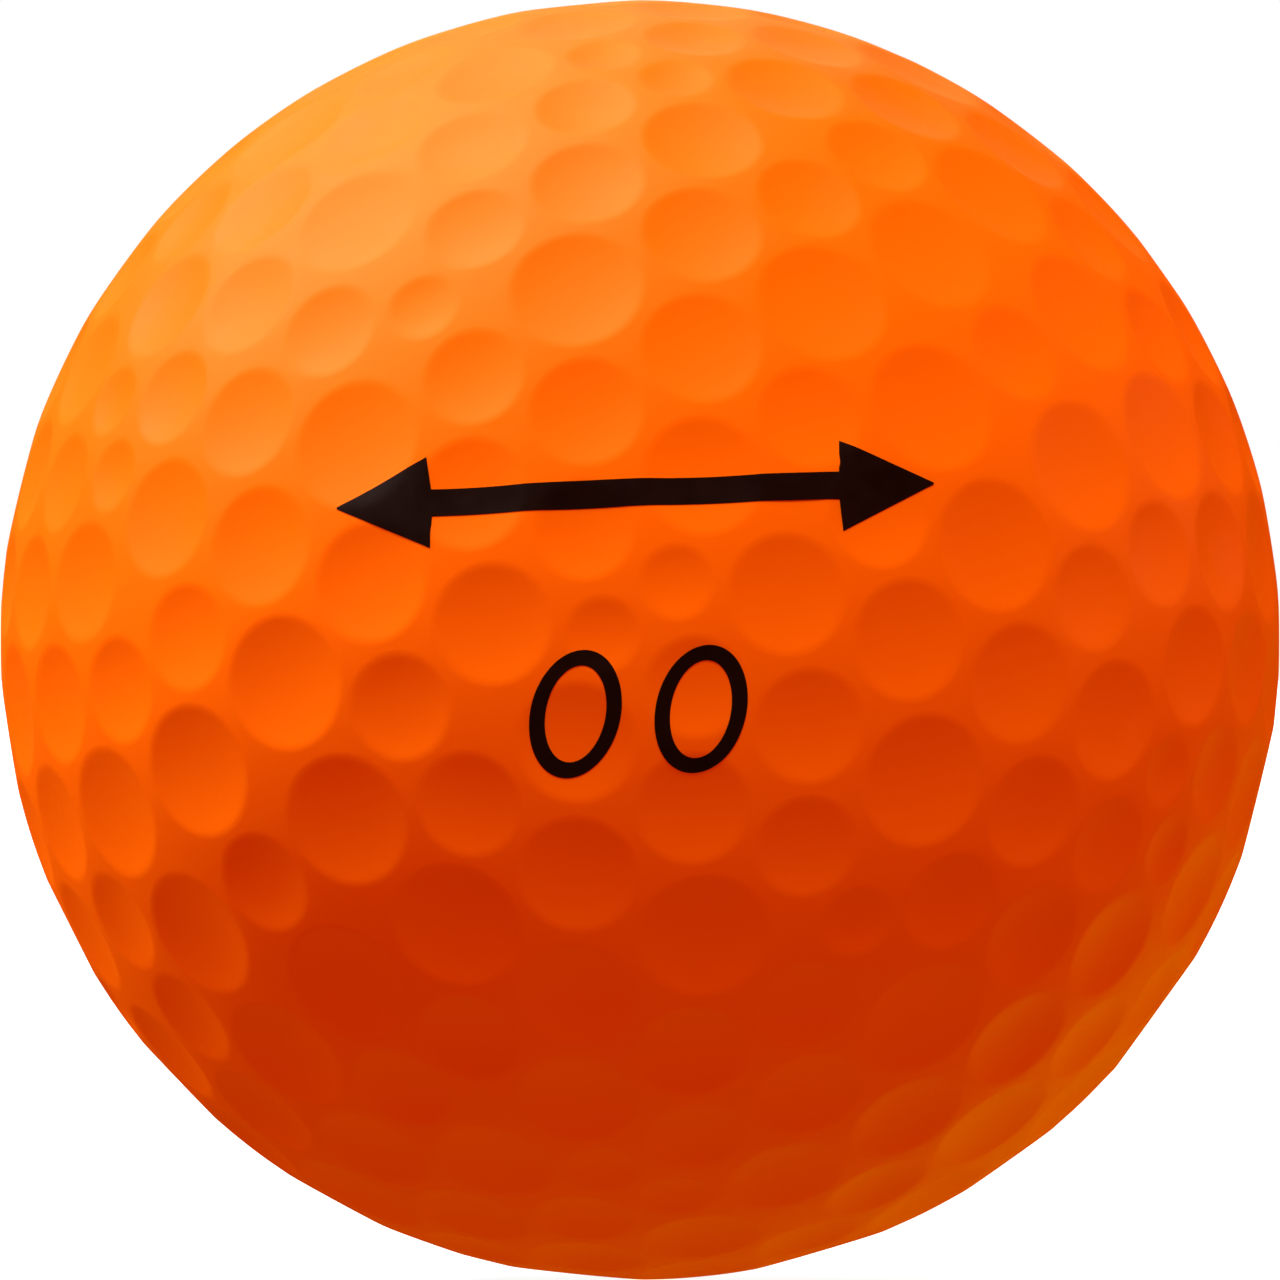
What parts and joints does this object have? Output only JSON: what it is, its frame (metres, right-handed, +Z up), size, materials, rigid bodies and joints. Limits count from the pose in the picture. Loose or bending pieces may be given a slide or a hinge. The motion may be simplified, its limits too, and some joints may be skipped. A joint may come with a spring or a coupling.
{
  "type": "golf ball",
  "caption": "Orange two-piece golf ball: a solid rubber core in a thin dimpled ionomer cover, printed with a plain double arrow and a zero pair on two opposite sides.",
  "frame": {"origin": "centre of the ball", "axes": "+Z up, -Y out of the printed front, +X to the right of the print; the plane X = 0 parts the two halves of the cover"},
  "size_m": [0.0426, 0.0427, 0.0426],
  "materials": {
    "cover_ionomer": "satin orange ionomer with a thin clear coat",
    "core_rubber": "dull moulded polybutadiene rubber",
    "print_ink": "thin black pad-printed ink"
  },
  "bodies": {
    "root": {"core": "core_rubber", "cover_left": "cover_ionomer", "cover_right": "cover_ionomer", "print_arrow_front": "print_ink", "print_digit_left_front": "print_ink", "print_digit_right_front": "print_ink", "print_arrow_back": "print_ink", "print_digit_left_back": "print_ink", "print_digit_right_back": "print_ink"}
  },
  "joints": []
}
